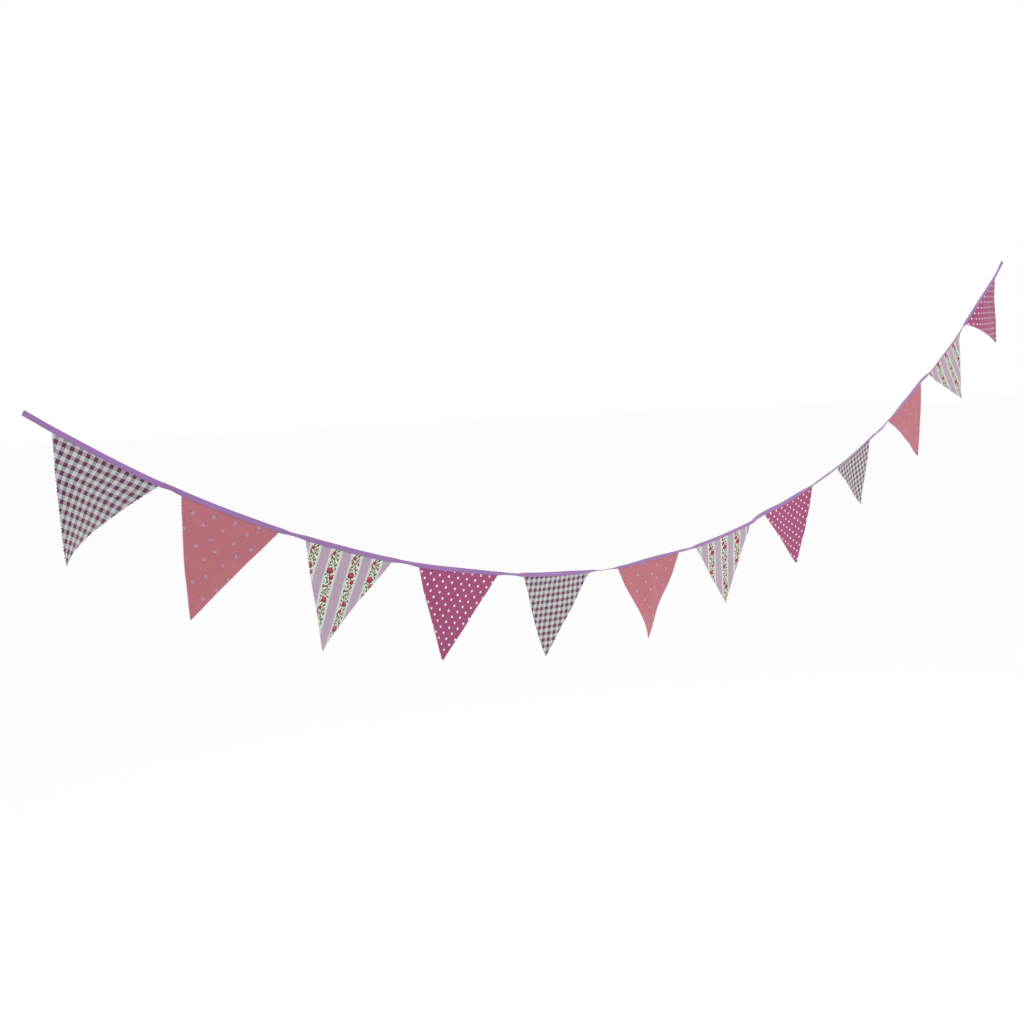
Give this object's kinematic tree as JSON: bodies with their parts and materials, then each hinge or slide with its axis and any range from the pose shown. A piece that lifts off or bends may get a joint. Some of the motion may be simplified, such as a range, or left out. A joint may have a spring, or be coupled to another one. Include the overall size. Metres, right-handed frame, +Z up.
{
  "type": "pennant bunting",
  "caption": "Swag of cotton triangle pennants in four patterned cloths, sewn into a folded lilac tape.",
  "frame": {"origin": "left end of the tape, on its fold, where the bunting is held up", "axes": "+X towards the right end of the tape, +Z up, the printed sides face -Y"},
  "size_m": [2.7607, 0.0438, 0.781],
  "materials": {
    "tape": "matte lilac cotton tape",
    "check": "matte plum and white woven check cotton",
    "coral": "matte coral cotton printed with small scattered flowers",
    "stripe": "matte cotton printed with lilac stripes and rose vines",
    "dots": "matte magenta cotton printed with small white dots"
  },
  "bodies": {
    "root": {"binding_tape": "tape", "pennant_01": "check", "pennant_02": "coral", "pennant_03": "stripe", "pennant_04": "dots", "pennant_05": "check", "pennant_06": "coral", "pennant_07": "stripe", "pennant_08": "dots", "pennant_09": "check", "pennant_10": "coral", "pennant_11": "stripe", "pennant_12": "dots"}
  },
  "joints": []
}
